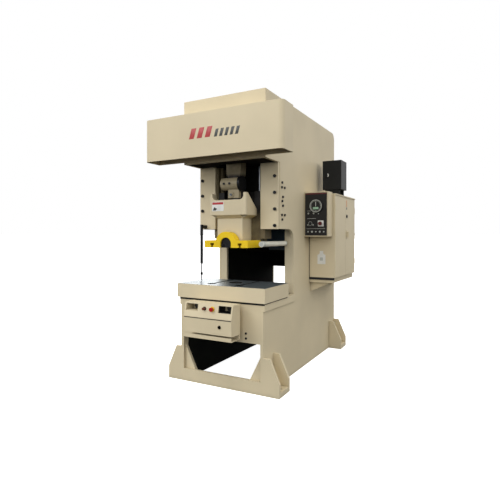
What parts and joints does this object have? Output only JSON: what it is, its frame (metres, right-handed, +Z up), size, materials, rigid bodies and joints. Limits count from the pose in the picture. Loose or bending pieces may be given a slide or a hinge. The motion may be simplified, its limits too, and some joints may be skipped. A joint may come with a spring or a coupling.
{
  "type": "mechanical stamping press",
  "caption": "Open-front C-frame mechanical press with crank-driven slide, slotted bolster, two-hand control box, side electric cabinet and crown hood.",
  "frame": {"origin": "centre of the four floor anchor holes, at floor level", "axes": "+X to the machine's right seen from the operator, +Y to the back, +Z up"},
  "size_m": [1.3, 1.9345, 2.31],
  "materials": {
    "body_paint": "satin",
    "machined_steel": "satin",
    "dark_steel": "satin",
    "cast_iron": "rough",
    "bronze": "satin",
    "black_plastic": "matte",
    "red_plastic": "gloss",
    "green_plastic": "gloss",
    "brown_plastic": "gloss",
    "black_box": "satin",
    "belt_rubber": "matte",
    "motor_paint": "satin",
    "lamp_tube": "satin"
  },
  "bodies": {
    "press_frame": {"left_side_plate": "body_paint", "right_side_plate": "body_paint", "floor_feet": "body_paint", "floor_beams": "body_paint", "throat_flanges": "body_paint", "bed_front_plate": "body_paint", "bed_top_plate": "body_paint", "crown_front_plate": "body_paint", "crown_floor": "body_paint", "roof_and_back_plate": "body_paint", "bearing_walls": "body_paint", "crown_hood": "body_paint", "bolster": "body_paint", "gib_plates": "body_paint", "guide_rails": "dark_steel", "guide_backings": "body_paint", "gib_plate_screws": "dark_steel", "guide_adjusting_screws": "dark_steel", "crankshaft_bushes": "bronze", "pinion_shaft_bushes": "bronze", "motor": "motor_paint", "motor_bracket": "body_paint", "drive_belts": "belt_rubber", "counterbalance_cylinders": "cast_iron", "cabinet_shell": "body_paint", "control_box": "body_paint", "control_fascia": "black_plastic", "operator_box": "body_paint", "valve_box": "black_box", "work_lamp": "lamp_tube", "guard_post": "dark_steel"},
    "ram": {"slide": "body_paint", "shank_clamp": "dark_steel", "shank_clamp_screws": "dark_steel", "ball_seat": "bronze", "counterbalance_rods": "machined_steel"},
    "rod": {"connecting_rod": "body_paint", "big_end_bush": "bronze", "adjusting_screw": "machined_steel", "worm_housing": "body_paint", "housing_end_cap": "dark_steel", "housing_screws": "dark_steel"},
    "worm": {"worm_shaft": "machined_steel"},
    "crank": {"crankshaft": "machined_steel", "main_gear": "cast_iron"},
    "pinion": {"pinion_shaft": "machined_steel", "clutch_brake": "cast_iron"},
    "wheel": {"flywheel": "cast_iron"},
    "pulley": {"motor_pulley": "cast_iron"},
    "cabinet_front_leaf": {"cabinet_front_door": "body_paint"},
    "cabinet_rear_leaf": {"cabinet_rear_door": "body_paint"},
    "control_stop": {"control_stop_button": "red_plastic"},
    "selector": {"mode_selector": "black_plastic"},
    "operator_door": {"operator_box_door": "body_paint"},
    "left_palm": {"left_palm_button": "green_plastic"},
    "right_palm": {"right_palm_button": "green_plastic"},
    "operator_stop": {"operator_stop_button": "red_plastic"},
    "cycle": {"cycle_button": "brown_plastic"},
    "valve_door": {"valve_box_door": "black_box"}
  },
  "joints": [
    {"name": "crank_turn", "type": "hinge", "parent": "press_frame", "child": "crank", "pos_m": [0, -0.62, 1.96], "axis": [0, 1, 0], "range_deg": [0, 180]},
    {"name": "slide_stroke", "type": "slide", "parent": "press_frame", "child": "ram", "axis": [0, 0, -1], "range_m": [0, 0.08]},
    {"name": "rod_swing", "type": "hinge", "parent": "crank", "child": "rod", "pos_m": [0, -0.62, 2], "axis": [0, 1, 0], "range_deg": [-180, 0]},
    {"name": "worm_shaft_turn", "type": "hinge", "parent": "rod", "child": "worm", "pos_m": [0.01, -0.71, 1.53], "axis": [0, 1, 0], "range_deg": [-180, 180]},
    {"name": "pinion_turn", "type": "hinge", "parent": "press_frame", "child": "pinion", "pos_m": [0, 0.2, 1.6065], "axis": [0, 1, 0], "range_deg": [-889.5, 0]},
    {"name": "flywheel_spin", "type": "hinge", "parent": "press_frame", "child": "wheel", "pos_m": [0, 0.49, 1.6065], "axis": [0, 1, 0], "continuous": true},
    {"name": "motor_pulley_spin", "type": "hinge", "parent": "press_frame", "child": "pulley", "pos_m": [0, 0.49, 1.18], "axis": [0, 1, 0], "continuous": true},
    {"name": "cabinet_front_door_swing", "type": "hinge", "parent": "press_frame", "child": "cabinet_front_leaf", "pos_m": [0.632, 0.092, 1.19], "axis": [0, 0, -1], "range_deg": [0, 110]},
    {"name": "cabinet_rear_door_swing", "type": "hinge", "parent": "press_frame", "child": "cabinet_rear_leaf", "pos_m": [0.632, 0.772, 1.19], "axis": [0, 0, 1], "range_deg": [0, 110]},
    {"name": "control_stop_press", "type": "slide", "parent": "press_frame", "child": "control_stop", "axis": [0, 1, 0], "range_m": [0, 0.006]},
    {"name": "mode_selector_turn", "type": "hinge", "parent": "press_frame", "child": "selector", "pos_m": [0.44, -0.04, 1.304], "axis": [0, 1, 0], "range_deg": [-45, 45]},
    {"name": "operator_door_swing", "type": "hinge", "parent": "press_frame", "child": "operator_door", "pos_m": [0, -1.055, 0.459], "axis": [1, 0, 0], "range_deg": [0, 95]},
    {"name": "left_palm_press", "type": "slide", "parent": "press_frame", "child": "left_palm", "axis": [0, 1, 0], "range_m": [0, 0.006], "stiffness_N_per_m": 400},
    {"name": "right_palm_press", "type": "slide", "parent": "press_frame", "child": "right_palm", "axis": [0, 1, 0], "range_m": [0, 0.006], "stiffness_N_per_m": 400},
    {"name": "operator_stop_press", "type": "slide", "parent": "press_frame", "child": "operator_stop", "axis": [0, 1, 0], "range_m": [0, 0.005]},
    {"name": "cycle_button_press", "type": "slide", "parent": "press_frame", "child": "cycle", "axis": [0, 1, 0], "range_m": [0, 0.005], "stiffness_N_per_m": 400},
    {"name": "valve_door_swing", "type": "hinge", "parent": "press_frame", "child": "valve_door", "pos_m": [0.631, 0.29, 1.78], "axis": [0, 0, 1], "range_deg": [0, 110]}
  ],
  "couplings": [
    {"joint": "slide_stroke", "follows": "crank_turn", "m_per_rad": 0.02546},
    {"joint": "rod_swing", "follows": "crank_turn", "ratio": -1},
    {"joint": "pinion_turn", "follows": "crank_turn", "ratio": -4.9412},
    {"joint": "motor_pulley_spin", "follows": "flywheel_spin", "ratio": 4.4}
  ]
}
